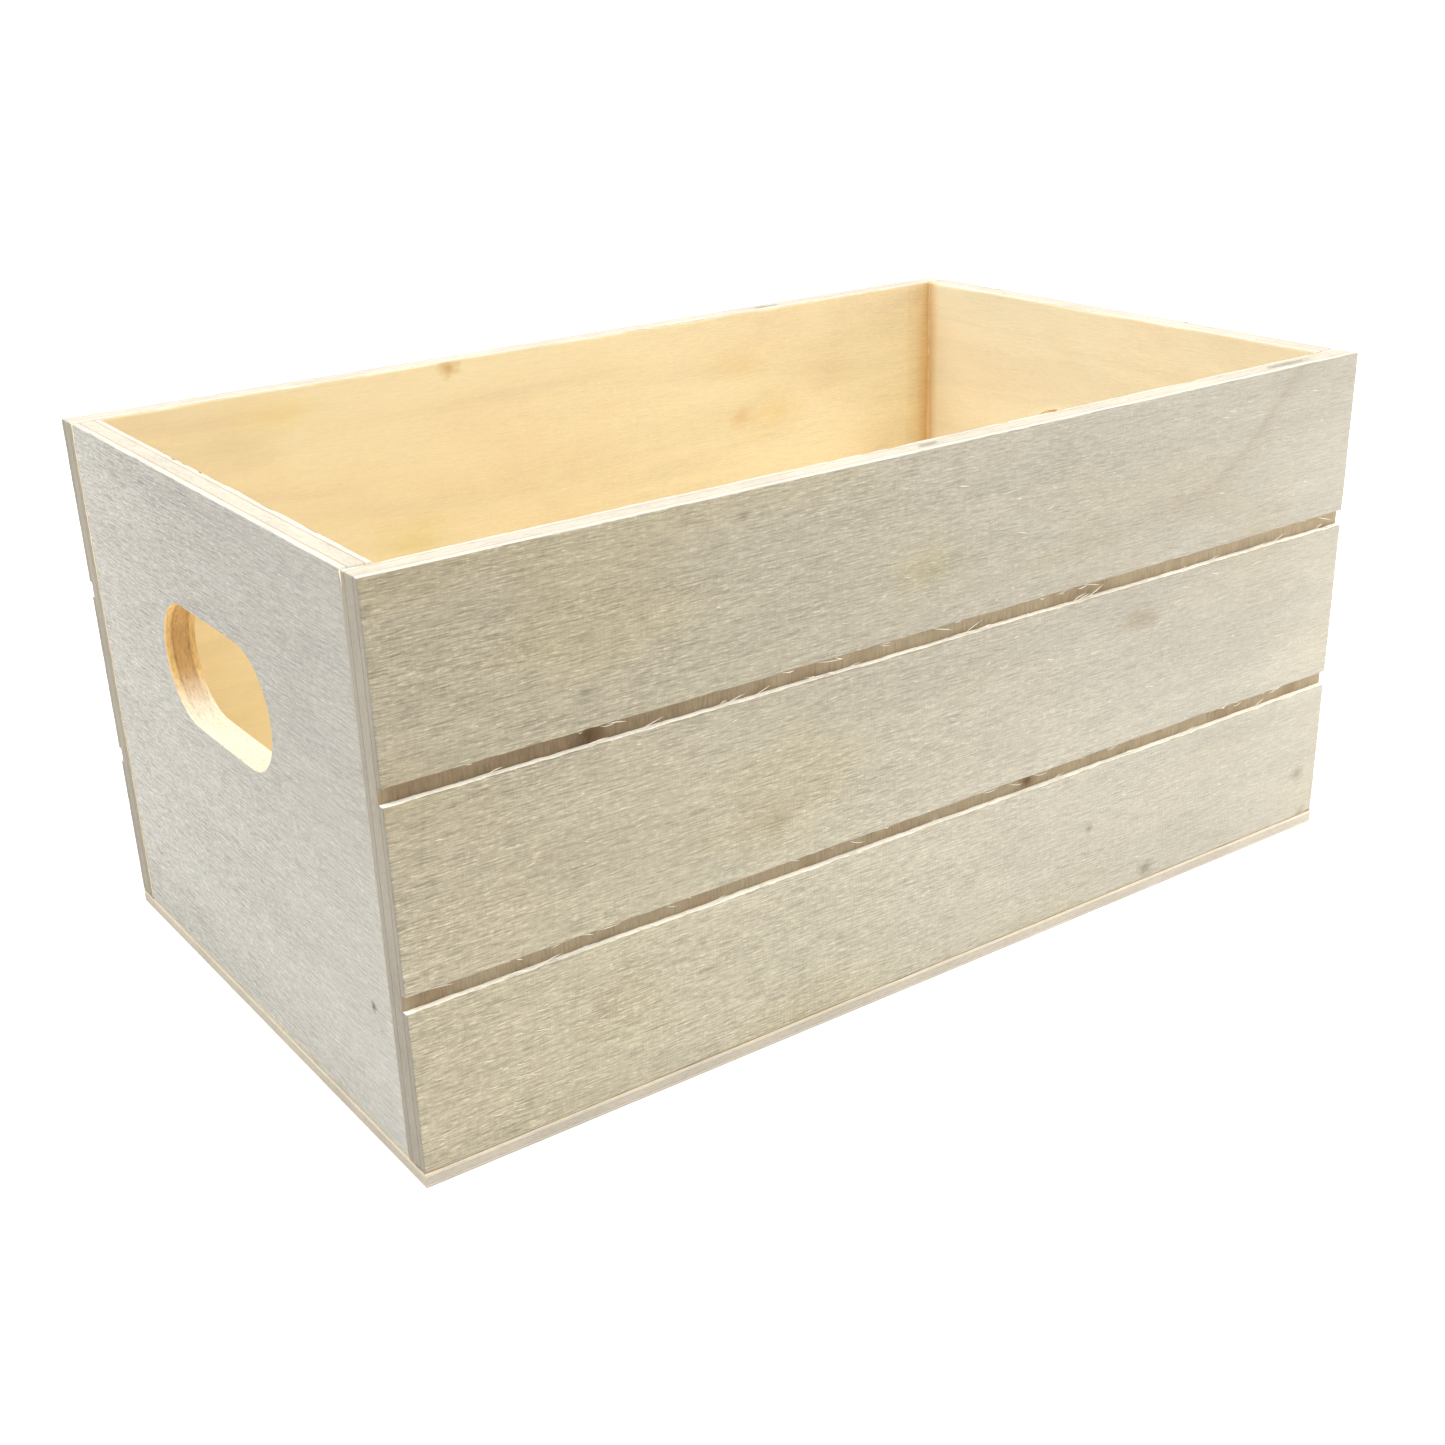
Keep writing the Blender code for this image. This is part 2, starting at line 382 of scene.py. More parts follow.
def core_voids(a, t, thickness, marks):
    """Slits in the rim where the core ply has a gap. Each is (from, to) along the board."""
    depth = np.zeros_like(a)
    band = np.exp(-(((t - 0.52 * thickness) / (0.55 * MM)) ** 4))
    for start, end in marks.get("voids", ()):
        run = smooth(start * MM, (start + 1.5) * MM, a) * smooth(end * MM, (end - 1.5) * MM, a)
        depth += 1.4 * MM * band * run
    return depth


def strand_mesh(name, strands, quarters, material):
    """Loose fibres as thin closed slivers. Each is (middle, half its run, bow, radius)."""
    share = np.linspace(-1, 1, 7)
    ring = np.arange(4)
    after = (ring + 1) % 4
    tube = [np.stack([4 * n + ring, 4 * n + after, 4 * n + 4 + after, 4 * n + 4 + ring], 1) for n in range(6)]
    tube = np.concatenate(tube + [[(3, 2, 1, 0), (24, 25, 26, 27)]])
    points, quads = [], []
    for number, (middle, run, bow, radius) in enumerate(strands):
        middle, run, bow = (np.array(v, float) for v in (middle, run, bow))
        side = np.cross(run, (0.0, 1.0, 0.0))
        side = side / np.linalg.norm(side)
        spine = middle + run * share[:, None] + bow * (1 - share**2)[:, None]
        thick = radius * (0.12 + 0.88 * (1 - share**2))[:, None, None]
        cross = np.array([side, (0, 1, 0), -side, (0, -1, 0)])
        points.append((spine[:, None] + cross[None] * thick).reshape(-1, 3))
        quads.append(tube + 28 * number)
    points, quads = np.concatenate(points), np.concatenate(quads)
    if volume(points, quads) < 0:
        quads = quads[:, ::-1]
    piece = add_mesh(name, turned(points, quarters), quads, [material], np.zeros(len(quads)))
    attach(piece, "root")


def draw(number, kind, seed):
    """A fixed random value from 0 to 1."""
    return float(lattice(np.int64(number), np.int64(kind), seed))


def groove_strands(node, count, seed):
    """Fibres that the cutter left on the grooves' edges. None stands out past the face."""
    low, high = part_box(node)
    grooves, _ = groove_edges(node)
    face = -max(abs(low.y), abs(high.y))
    strands = []
    for number in range(count):
        r = [draw(number, kind, seed) for kind in range(8)]
        pair = grooves[int(r[0] * len(grooves)) % len(grooves)]
        lower = r[1] < 0.68
        size = (0.5 + 2.2 * r[2] ** 2) * MM
        slope = (r[3] - 0.3) * (0.55 if lower else -0.55)
        radius = (0.045 + 0.05 * r[4]) * MM
        x = (r[5] - 0.5) * (high.x - low.x - 3 * size)
        z = (pair[0] + 0.10 * MM) if lower else (pair[1] - 0.12 * MM)
        y = face + 2.2 * radius + 0.35 * MM * r[6]
        rise = (r[7] - 0.3) * 0.5 * MM * (1 if lower else -1)
        run = (size * math.cos(slope), 0.0, size * math.sin(slope))
        strands.append(((x, y, z + abs(run[2]) * (1 if lower else -1)), run, (0, 0, rise), radius))
    return strands


def face_strands(node, count, seed, thick_patch):
    """Short fibres that lie in the fuzzy grain of the face, a third of them in the thick patch."""
    low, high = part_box(node)
    grooves, _ = groove_edges(node)
    face = -max(abs(low.y), abs(high.y))
    strands = []
    for number in range(count):
        r = [draw(number, kind, seed) for kind in range(11, 21)]
        x = (r[0] - 0.5) * (high.x - low.x - 8 * MM)
        z = low.z + 2 * MM + r[1] * (high.z - low.z - 4 * MM)
        if r[2] < 0.35:
            x = thick_patch[0] + (r[3] - 0.5) * thick_patch[2]
            z = thick_patch[1] + (r[4] - 0.5) * thick_patch[3]
        if any(a - 0.6 * MM < z < b + 0.6 * MM for a, b in grooves):
            continue
        size = (0.35 + 1.1 * r[5] ** 2) * MM
        slope = (r[6] - 0.5) * 0.5
        radius = (0.03 + 0.035 * r[7]) * MM
        y = face + radius + (0.02 + 0.10 * r[8]) * MM
        strands.append(((x, y, z), (size * math.cos(slope), 0.0, size * math.sin(slope)),
                        (0, 0, 0.12 * MM * (r[9] - 0.5)), radius))
    return strands


def splinter():
    """The long sliver that hangs from the upper edge of the lower groove at its left end."""
    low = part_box("front_panel")[0]
    edge = groove_edges("front_panel")[0][0][1]
    return ((low.x + 4.6 * MM, low.y + 0.45 * MM, edge - 0.25 * MM), (4.0 * MM, 0.0, -0.35 * MM),
            (0, 0, 0.25 * MM), 0.16 * MM)


def fibre_material():
    """Torn fibres: paler than the face that they came from."""
    material, tree, shader = new_material("torn_fibre", specular=0.15)
    place = object_place(tree)
    patch = texture(tree, place, (3, 3, 3), detail=3.0)
    tone = ramp(tree, patch, [(0.35, colour(206, 197, 180)), (0.65, colour(228, 221, 206))])
    paint(tree, shader, tone, patch, [(0.3, 0.9), (0.7, 0.75)], (0.3, 0.03 * MM))
    return material


def add_fibres():
    material = fibre_material()
    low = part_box("front_panel")[0]
    patch = (low.x + 21 * MM, 18 * MM, 36 * MM, 24 * MM)
    front = groove_strands("front_panel", 150, 810) + face_strands("front_panel", 330, 820, patch)
    strand_mesh("front_panel_fibres", front + [splinter()], 0, material)
    back = groove_strands("back_panel", 90, 830) + face_strands("back_panel", 260, 840, patch)
    strand_mesh("back_panel_fibres", back, 2, material)


# ---- end panels


def slot_shape(node):
    """The handle slot's middle height, half length and radius, read from the CAD mesh."""
    low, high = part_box(node)
    co = cad_points(node)
    outer = max(abs(low.x), abs(high.x))
    on_face = np.abs(co[:, 0]) > outer - 0.1 * MM  # clear of the brad holes
    inside = (np.abs(co[:, 1]) < high.y - 3 * MM) & (co[:, 2] > low.z + 3 * MM) & (co[:, 2] < high.z - 3 * MM)
    ring = co[inside & on_face]
    middle = (ring[:, 2].max() + ring[:, 2].min()) / 2
    return middle, np.abs(ring[:, 1]).max(), (ring[:, 2].max() - ring[:, 2].min()) / 2


def slot_point(direction, half_length, radius):
    """Where rays from the slot's middle cross its outline, a rectangle with round ends."""
    straight = half_length - radius
    ca, ch = direction.T
    flat = radius / np.maximum(np.abs(ch), 1e-9)
    bend = straight * np.abs(ca) + np.sqrt(np.maximum(radius**2 - (straight * ch) ** 2, 0))
    reach = np.where(flat * np.abs(ca) <= straight, flat, bend)
    return direction * reach[:, None]


def slot_rays(low, high, width, slot):
    """Rays from the slot's middle: where they leave the slot, their directions, their runs on."""
    middle, half_length, radius = slot
    across = lines(-width / 2, width / 2, COARSE_PITCH)
    up = lines(low.z, high.z, COARSE_PITCH)
    rim = [(a, high.z) for a in across[:0:-1]]
    left = [(-width / 2, h) for h in up[:0:-1]]
    foot = [(a, low.z) for a in across[:-1]]
    right = [(width / 2, h) for h in up[:-1]]
    centre = np.array([0.0, middle])
    rays = np.array(rim + left + foot + right) - centre
    reach = np.linalg.norm(rays, axis=1)
    rays = rays / reach[:, None]
    inside = slot_point(rays, half_length, radius)
    return centre + inside, rays, reach - np.linalg.norm(inside, axis=1)


def end_section(thickness, span):
    """Rings from the board's edge into the slot, through it, back and over the edge.

    Each has its runs from the slot, its depth and its finish.
    """
    near = np.array([1.0, 1.5, 2.3, 3.4, 4.8]) * SLOT_LIP
    far = np.array(EDGE_LINES)
    share = np.linspace(0, 1, 34)[1:-1]
    face = [span * 0 + s for s in near]
    face += [near[-1] + (span - far[-1] - near[-1]) * s for s in share]
    face += [span - s for s in far[::-1]]
    angles = np.radians([22.5, 45.0, 67.5])
    bend = [(SLOT_LIP * (1 - math.sin(x)), SLOT_LIP * (1 - math.cos(x))) for x in angles]
    wall = lines(SLOT_LIP, thickness - SLOT_LIP, 0.45 * MM, fine=glue_lines(thickness))
    rings = [(run, 0.0, 0) for run in face[::-1]]
    rings += [(run, depth, 3) for run, depth in bend]
    rings += [(0.0, depth, 3) for depth in wall]
    rings += [(run, thickness - depth, 3) for run, depth in bend[::-1]]
    rings += [(run, thickness, 1) for run in face]
    rings += [(span, depth, 2) for depth in lines(0, thickness, THROUGH_PITCH)[-2:0:-1]]
    runs, depths, finishes = zip(*rings)
    return np.array([run + span * 0 for run in runs]), np.array(depths), np.array(finishes)


def router_marks(t, thickness, rest, count, seed):
    """The slot's wall: a router's waves, and a core ply that tore back a little further."""
    turn = np.tile(np.arange(count), len(t) // count) * 0.4
    core = smooth(FACE_PLY - 0.02, FACE_PLY + 0.02, t / thickness)
    core = core * smooth(1 - FACE_PLY + 0.02, 1 - FACE_PLY - 0.02, t / thickness)
    bite = 0.10 * MM * rough(turn / 3, t / (0.6 * MM), seed + 71)
    bite = bite + core * 0.22 * MM * rough(turn, t / (0.9 * MM), seed + 72)
    return bite * smooth(1.0 * MM, 0.0, rest)


def end_panel(node, name, quarters, seed, materials, stain_and_shade=None):
    """A board with a handle slot: rings of points round the slot, swept through its section."""
    low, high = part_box(node)
    width, thickness = high.y - low.y, high.x - low.x
    start, rays, span = slot_rays(low, high, width, slot_shape(node))
    out, deep, part = end_section(thickness, span)
    rings, count = out.shape
    flat = start[None] + rays[None] * out[..., None]
    a, h = flat[..., 0].ravel(), flat[..., 1].ravel()
    t = np.repeat(deep, count)
    kind = np.repeat(part, count)
    rest = out.ravel()
    points = np.stack([a, h, t], axis=1)
    board = points.copy()

    low_corner = np.array([-width / 2, low.z, 0.0])
    high_corner = np.array([width / 2, high.z, thickness])
    wear = edge_wear(a, t, seed)
    points = ease(points, low_corner, high_corner, np.where(h > high.z - 3 * MM, wear, BUTT_EASE))

    warp = WARP * rough(a / (40 * MM), h / (30 * MM), seed + 51)
    grain = RELIEF * 0.6 * fuzzy_grain(a, h, seed)
    clear = smooth(0.2 * MM, 1.5 * MM, rest)
    points[:, 2] += (kind == 0) * clear * (warp + grain)
    points[:, 2] -= (kind == 1) * clear * (warp + 0.5 * grain)

    bite = router_marks(t, thickness, rest, count, seed) * (kind == 3)
    points[:, :2] += np.tile(rays, (rings, 1)) * bite[:, None]

    on_rim = (kind == 2) & (h > high.z - 0.5 * MM)
    points[:, 1] -= on_rim * 0.12 * MM * rough(a / (5 * MM), t / (0.8 * MM), seed + 61)
    nick = smooth(0.76, 0.86, noise(a / (2.4 * MM), t / (1.4 * MM), seed + 62))
    points[:, 1] -= on_rim * nick * 0.4 * MM * smooth(1.0 * MM, 0.2 * MM, np.minimum(t, thickness - t))
    points = np.clip(points, low_corner, high_corner)

    index = np.arange(rings * count).reshape(rings, count)
    index = np.concatenate([index, index[:1]])
    index = np.concatenate([index, index[:, :1]], axis=1)
    quads = sheet(index, False)
    slots = np.repeat(np.maximum(part, np.roll(part, -1)), count)
    reach_x = max(abs(low.x), abs(high.x))
    world = np.stack([points[:, 0], points[:, 2] - reach_x, points[:, 1]], axis=1)
    if volume(world, quads) < 0:
        quads = quads[:, ::-1]
    tint = stain_and_shade(a, h) if stain_and_shade else None
    piece = add_mesh(name, turned(world, quarters), quads, materials, slots, board, tint)
    finish_piece(piece, node)


def volume(points, quads):
    """The signed volume inside a closed mesh of quads."""
    p = points[quads]
    total = 0.0
    for b, c in ((1, 2), (2, 3)):
        total += np.einsum("ij,ij->i", p[:, 0], np.cross(p[:, b], p[:, c])).sum()
    return total / 6


# ---- base and brads


def brad_nodes():
    return sorted(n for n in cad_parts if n.startswith("base_brad_"))


def brad_places():
    """The middle of each brad, seen from below."""
    places = []
    for node in brad_nodes():
        low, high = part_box(node)
        places.append(((low.x + high.x) / 2, (low.y + high.y) / 2, low.z, (high.x - low.x) / 2))
    return places


def base_board(node, name, seed, materials):
    """The thin board below the walls, with a pit round each punched brad head."""
    low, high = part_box(node)
    length, width, thickness = high.x - low.x, high.y - low.y, high.z - low.z
    brads = brad_places()
    pit_lines = tuple(step * 0.3 * MM for step in range(6))
    along = lines(-length / 2, length / 2, 1.6 * MM, sorted({round(b[0], 5) for b in brads}), pit_lines)
    across = lines(-width / 2, width / 2, 1.6 * MM, sorted({round(b[1], 5) for b in brads}), pit_lines)
    through = lines(0, thickness, 0.3 * MM, offsets=EDGE_LINES[:3])
    place, sides = box_grid(len(along), len(across), len(through))
    i, j, k = place.T
    a, b, t = along[i], across[j], through[k]
    points = np.stack([a, b, t], axis=1)
    board = points.copy()
    low_corner = np.array([-length / 2, -width / 2, 0.0])
    high_corner = np.array([length / 2, width / 2, thickness])
    worn = (0.12 + 0.2 * noise(a / (8 * MM), b / (8 * MM), seed + 41)) * MM
    points = ease(points, low_corner, high_corner, worn)
    under, above = k == 0, k == len(through) - 1
    grain = RELIEF * 0.6 * fuzzy_grain(a, b, seed)
    edge = np.minimum(length / 2 - np.abs(a), width / 2 - np.abs(b))
    clear = smooth(0.0, 1.5 * MM, edge)
    points[:, 2] += under * clear * grain
    points[:, 2] -= above * clear * grain
    for x, y, head, radius in brads:
        away = np.hypot(a - x, b + y)
        pit = smooth(radius + 0.5 * MM, radius, away) * (head + 0.12 * MM)
        points[:, 2] = np.where(under, np.maximum(points[:, 2], pit), points[:, 2])
    points = np.clip(points, low_corner, high_corner)
    quads = np.concatenate(list(sides.values()))
    slots = [np.full(len(f), {"outer": 0, "inner": 1}.get(side, 2)) for side, f in sides.items()]
    world = np.stack([points[:, 0], -points[:, 1], points[:, 2] + low.z], axis=1)
    piece = add_mesh(name, world, quads, materials, np.concatenate(slots), board)
    finish_piece(piece, node)


def brad_outline(radius, shank, head, length, tip):
    """Radius and height down a brad: a slightly domed head, a shank with wire marks, a point."""
    rows = [(0.0, 0.0)]
    rows += [(radius * math.sin(a), 0.06 * MM * (1 - math.cos(a))) for a in np.radians([25, 50, 70, 85])]
    rows += [(radius, 0.12 * MM), (radius, head * 0.75), (radius * 0.94, head), (shank * 1.15, head)]
    for ring in range(4):
        start = head + (0.3 + 0.35 * ring) * MM
        rows += [(shank, start), (shank * 0.93, start + 0.08 * MM), (shank, start + 0.18 * MM)]
    rows += [(shank, length - tip), (shank * 0.55, length - tip * 0.45), (0.0, length)]
    return rows


def brad(node, name, material):
    """A round wire brad, head down, turned from its outline."""
    low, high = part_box(node)
    x, y = (low.x + high.x) / 2, (low.y + high.y) / 2
    radius, length = (high.x - low.x) / 2, high.z - low.z
    rows = brad_outline(radius * 0.999, 0.5 * MM, 0.5 * MM, length, 1.2 * MM)
    sides = 32
    points = [(x, y, low.z)]
    for r, z in rows[1:-1]:
        for step in range(sides):
            angle = 2 * math.pi * step / sides
            points.append((x + r * math.cos(angle), y + r * math.sin(angle), low.z + z))
    points.append((x, y, low.z + length))
    rings, last = len(rows) - 2, len(points) - 1
    faces = []
    for step in range(sides):
        after = (step + 1) % sides
        faces.append((0, 1 + after, 1 + step))
        for ring in range(rings - 1):
            here, there = 1 + ring * sides, 1 + (ring + 1) * sides
            faces.append((here + step, here + after, there + after, there + step))
        end = 1 + (rings - 1) * sides
        faces.append((end + step, end + after, last))
    mesh = bpy.data.meshes.new(name)
    mesh.from_pydata(points, [], faces)
    mesh.materials.append(material)
    mesh.shade_smooth()
    mesh.set_sharp_from_angle(angle=BRAD_CREASE)
    finish_piece(new_object(name, mesh), node)


def finish_piece(piece, node):
    """Hide the CAD part that the piece stands in for, and make the piece move with the root."""
    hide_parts(node)
    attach(piece, "root")


# ---- materials


def put(tree, kind, inputs=None, **settings):
    """Add a shader node. An input is given a value, or linked if it is given a socket."""
    node = tree.nodes.new(kind)
    for name, value in settings.items():
        setattr(node, name, value)
    for name, value in (inputs or {}).items():
        socket = node.inputs[name]
        if isinstance(value, bpy.types.NodeSocket):
            tree.links.new(value, socket)
        else:
            socket.default_value = value
    return node


def new_material(name, metallic=0.0, specular=0.35):
    material = bpy.data.materials.new(name)
    material.use_nodes = True
    tree = material.node_tree
    shader = tree.nodes["Principled BSDF"]
    shader.inputs["Metallic"].default_value = metallic
    shader.inputs["Specular IOR Level"].default_value = specular
    return material, tree, shader


def colour(red, green, blue):
    """A linear colour from screen values of 0 to 255."""
    screen = [c / 255 for c in (red, green, blue)]
    return [c / 12.92 if c <= 0.04045 else ((c + 0.055) / 1.055) ** 2.4 for c in screen] + [1.0]


def palette(*rows):
    return [colour(*row) for row in rows]


def ramp(tree, factor, stops):
    """A colour for each position along the factor."""
    node = put(tree, "ShaderNodeValToRGB", {"Fac": factor})
    points = node.color_ramp.elements
    while len(points) < len(stops):
        points.new(0.5)
    for point, (position, value) in zip(points, stops):
        point.position = position
        point.color = value if hasattr(value, "__len__") else (value, value, value, 1.0)
    return node.outputs["Color"]


def mix(tree, factor, first, second, blend="MIX"):
    node = put(tree, "ShaderNodeMix", {0: factor, 6: first, 7: second}, data_type="RGBA", blend_type=blend)
    return node.outputs[2]


def stretched(tree, place, size, offset):
    """Coordinates in units of a feature's size in mm: along, across, and if given, through."""
    scale = [1 / (step * MM) for step in (*size, PAST_BOARD)[:3]]
    return put(tree, "ShaderNodeMapping", {"Vector": place, "Scale": scale, "Location": offset}).outputs[0]


def texture(tree, place, size, offset=(0, 0, 0), detail=4.0, roughness=0.55, distortion=0.0):
    vector = stretched(tree, place, size, offset)
    inputs = {"Vector": vector, "Scale": 1.0, "Detail": detail, "Roughness": roughness,
              "Distortion": distortion}
    return put(tree, "ShaderNodeTexNoise", inputs).outputs["Fac"]


def board_place(tree):
    return put(tree, "ShaderNodeAttribute", attribute_name="board").outputs["Vector"]


def relief(tree, shader, height, strength, distance):
    inputs = {"Height": height, "Strength": strength, "Distance": distance}
    tree.links.new(put(tree, "ShaderNodeBump", inputs).outputs["Normal"], shader.inputs["Normal"])


def object_place(tree):
    return put(tree, "ShaderNodeTexCoord").outputs["Object"]


def part_of(tree, place, number):
    """One of the three parts of a place."""
    return put(tree, "ShaderNodeSeparateXYZ", {"Vector": place}).outputs[number]


def times(tree, body, factor, stops):
    """The colour, darker or paler by the stops."""
    return mix(tree, 1.0, body, ramp(tree, factor, stops), "MULTIPLY")


def paint(tree, shader, body, factor, gloss, bump=None):
    """Give the shader its colour, its roughness from the stops and, if given, its bump."""
    tree.links.new(body, shader.inputs["Base Color"])
    tree.links.new(ramp(tree, factor, gloss), shader.inputs["Roughness"])
    if bump:
        relief(tree, shader, factor, *bump)


def spots(tree, body, marks):
    """Knots, pin holes, small clouds and bands of painted corner shade: (along, height, half length, half
    height, tint) in mm.
    """
    place = board_place(tree)
    for along, height, long, tall, tint in marks:
        offset = (-along / long, -height / tall, 0)
        near = stretched(tree, place, (long, tall, FLAT), offset)
        away = put(tree, "ShaderNodeVectorMath", {0: near}, operation="LENGTH").outputs["Value"]
        edge = texture(tree, place, (long, tall, FLAT), (along, height, 0), 4.0, 0.6)
        ragged = put(tree, "ShaderNodeMath", {0: away, 1: edge}, operation="MULTIPLY").outputs[0]
        share = ramp(tree, ragged, [(0.08, 1.0), (0.32, 0.45), (0.62, 0.0)])
        body = mix(tree, 1.0, body, mix(tree, share, (1, 1, 1, 1), colour(*tint)), "MULTIPLY")
    return body


def rawness(tree, place, seed):
    """How strongly the grain shows, from 0 to 1: most near one end, and in patches."""
    along = part_of(tree, place, 0)
    share = put(tree, "ShaderNodeMapRange", {"Value": along, "From Min": -0.1, "From Max": 0.1}).outputs[0]
    patch = texture(tree, place, (24, 13), (seed, 31, 0), 2.0)
    fade = ramp(tree, share, [(0.0, 1.0), (0.45, 0.78), (1.0, 0.36)])
    return times(tree, fade, patch, [(0.35, 0.75), (0.65, 1.0)])


def face_material(name, tones, seed, stained_and_shaded=False, gain=1.0, fuzz=0.5, marks=()):
    """A rotary-cut face ply: clouds of colour, fine streaks, lifted fibres, pores, knife checks."""
    material, tree, shader = new_material(name)
    place = board_place(tree)
    shift = (seed * 3.7, seed * 1.3, 0)
    clouds = texture(tree, place, (46, 20), shift, 2.0, 0.5, 0.6)
    body = ramp(tree, clouds, [(0.30, tones[0]), (0.46, tones[1]), (0.60, tones[2]), (0.74, tones[3])])
    figure = texture(tree, place, (90, 9), shift, 3.0, 0.5, 1.2)
    body = times(tree, body, figure, [(0.38, 0.96), (0.50, 1.0), (0.62, 1.02)])
    grain = texture(tree, place, (14, 0.7), shift, 5.0, 0.6, 0.15)
    threads = texture(tree, place, (5.0, 0.30), (seed, 5, 0), 3.0, 0.65, 0.2)
    flecks = texture(tree, place, (1.5, 0.30), (seed, 41, 0), 2.0, 0.6, 0.3)
    pores = texture(tree, place, (1.8, 0.24), (seed, 11, 0), 2.0, 0.6)
    checks = texture(tree, place, (0.34, 3.0), (seed, 21, 0), 3.0, 0.6, 0.3)
    strong = rawness(tree, place, seed)
    layers = (
        (grain, [(0.30, 0.90), (0.52, 1.0), (0.72, 1.05)]),
        (threads, [(0.34, 0.64), (0.5, 1.0), (0.66, 1.22)]),
        (flecks, [(0.30, 0.82), (0.56, 1.0), (0.66, 1.30)]),
        (pores, [(0.27, 0.62), (0.34, 0.92), (0.42, 1.0)]),
        (checks, [(0.32, 0.92), (0.5, 1.0), (0.68, 1.06)]),
    )
    for layer, stops in layers:
        calmer = [(at, 1 + gain * (value - 1)) for at, value in stops]
        body = mix(tree, strong, body, ramp(tree, layer, calmer), "MULTIPLY")
    if stained_and_shaded:
        body = stains_and_shade(tree, body)
    body = spots(tree, body, marks)
    paint(tree, shader, body, grain, [(0.3, 0.8), (0.7, 0.66)])
    height = threads
    for share, layer in ((0.5, pores), (0.45, flecks), (0.2, grain), (0.2, checks)):
        height = mix(tree, share, height, layer)
    relief(tree, shader, height, fuzz, 0.5 * MM)
    return material


def stains_and_shade(tree, body):
    """The colours of a face that have a place: dark figure lines, yellow clouds, and a grey tint that is
    partly painted shade.
    """
    parts = put(tree, "ShaderNodeAttribute", attribute_name="stain_and_shade").outputs["Vector"]
    marks = put(tree, "ShaderNodeSeparateXYZ", {"Vector": parts}).outputs
    dark = mix(tree, marks[0], (1, 1, 1, 1), colour(196, 170, 128))
    yellow = mix(tree, marks[1], (1, 1, 1, 1), colour(253, 244, 210))
    # The third share is grey tone and painted shade: it darkens the upper part of a face, where less light
    # comes up from the floor.
    grey_and_painted_shade = mix(tree, marks[2], (1, 1, 1, 1), colour(204, 202, 201))
    for tint in (dark, yellow, grey_and_painted_shade):
        body = mix(tree, 1.0, body, tint, "MULTIPLY")
    return body


def edge_material(name, thickness, tones, seed, soft=0.012, gain=1.0, painted_light=None):
    """The cut edge of a board: two face plies, a core ply, and the glue lines between.

    The last argument, if given, is a height and a tone: below the height the plies fade to that tone, as
    painted light on a part that faces up.
    """
    material, tree, shader = new_material(name, specular=0.25)
    face_tone, core_tone, glue_tone = tones
    place = board_place(tree)
    depth = part_of(tree, place, 2)
    share = put(tree, "ShaderNodeMapRange", {"Value": depth, "From Max": thickness}).outputs[0]
    line = 0.018
    low, high = FACE_PLY, 1 - FACE_PLY
    stops = [(low - line - soft, face_tone), (low - line, glue_tone), (low + line, glue_tone),
             (low + line + soft, core_tone), (high - line - soft, core_tone), (high - line, glue_tone),
             (high + line, glue_tone), (high + line + soft, face_tone)]
    plies = ramp(tree, share, stops)
    # Painted light: below the given height the plies fade to the given pale tone.
    if painted_light:
        fade = {"Value": part_of(tree, place, 1), "From Min": painted_light[0] - 3 * MM, "From Max": painted_light[0] + 3 * MM,
                "To Min": 0.88, "To Max": 0.0}
        plies = mix(tree, put(tree, "ShaderNodeMapRange", fade).outputs[0], plies, colour(*painted_light[1]))
    fibres = texture(tree, place, (1.3, 1.3, 0.30), (seed, 0, 0), 5.0, 0.65, 0.4)
    stops = [(0.30, 1 - 0.16 * gain), (0.5, 1.0), (0.7, 1 + 0.06 * gain)]
    plies = times(tree, plies, fibres, stops)
    clouds = texture(tree, place, (17, 17, 6), (seed, 3, 0), 2.0)
    plies = times(tree, plies, clouds, [(0.35, 0.92), (0.6, 1.03)])
    paint(tree, shader, plies, fibres, [(0.3, 0.9), (0.7, 0.72)], (0.6, 0.2 * MM))
    return material


def groove_material(name, tones, seed, marks=()):
    """The core ply laid bare in a groove: short fibres across the groove."""
    material, tree, shader = new_material(name, specular=0.2)
    place = board_place(tree)
    fibres = texture(tree, place, (0.45, 3.0), (seed, 0, 0), 4.0, 0.6, 0.3)
    clouds = texture(tree, place, (12, 40), (seed, 9, 0), 3.0, 0.6)
    body = ramp(tree, clouds, [(0.32, tones[0]), (0.5, tones[1]), (0.68, tones[2])])
    body = times(tree, body, fibres, [(0.3, 0.80), (0.5, 1.0), (0.7, 1.10)])
    body = spots(tree, body, marks)
    paint(tree, shader, body, fibres, [(0.3, 0.95), (0.7, 0.8)], (0.8, 0.25 * MM))
    return material


def steel_material():
    """Bright drawn wire, slightly dulled."""
    material, tree, shader = new_material("brad_steel_wire", metallic=1.0, specular=0.5)
    place = object_place(tree)
    film = texture(tree, place, (0.5, 0.5, 0.5), detail=4.0)
    drawn = texture(tree, place, (0.08, 0.08, 3.0), detail=3.0)
    body = ramp(tree, film, [(0.35, colour(150, 146, 140)), (0.65, colour(192, 190, 186))])
    paint(tree, shader, body, film, [(0.3, 0.5), (0.7, 0.3)])
    relief(tree, shader, drawn, 0.25, 0.03 * MM)
    return material


def floor_material():
    material, tree, shader = new_material("floor_paper", specular=0.1)
    place = object_place(tree)
    speck = texture(tree, place, (60, 60, 60), detail=3.0)
    tree.links.new(ramp(tree, speck, [(0.3, 0.87), (0.7, 0.89)]), shader.inputs["Base Color"])
    shader.inputs["Roughness"].default_value = 0.9
    return material


# ---- the front panel's own marks


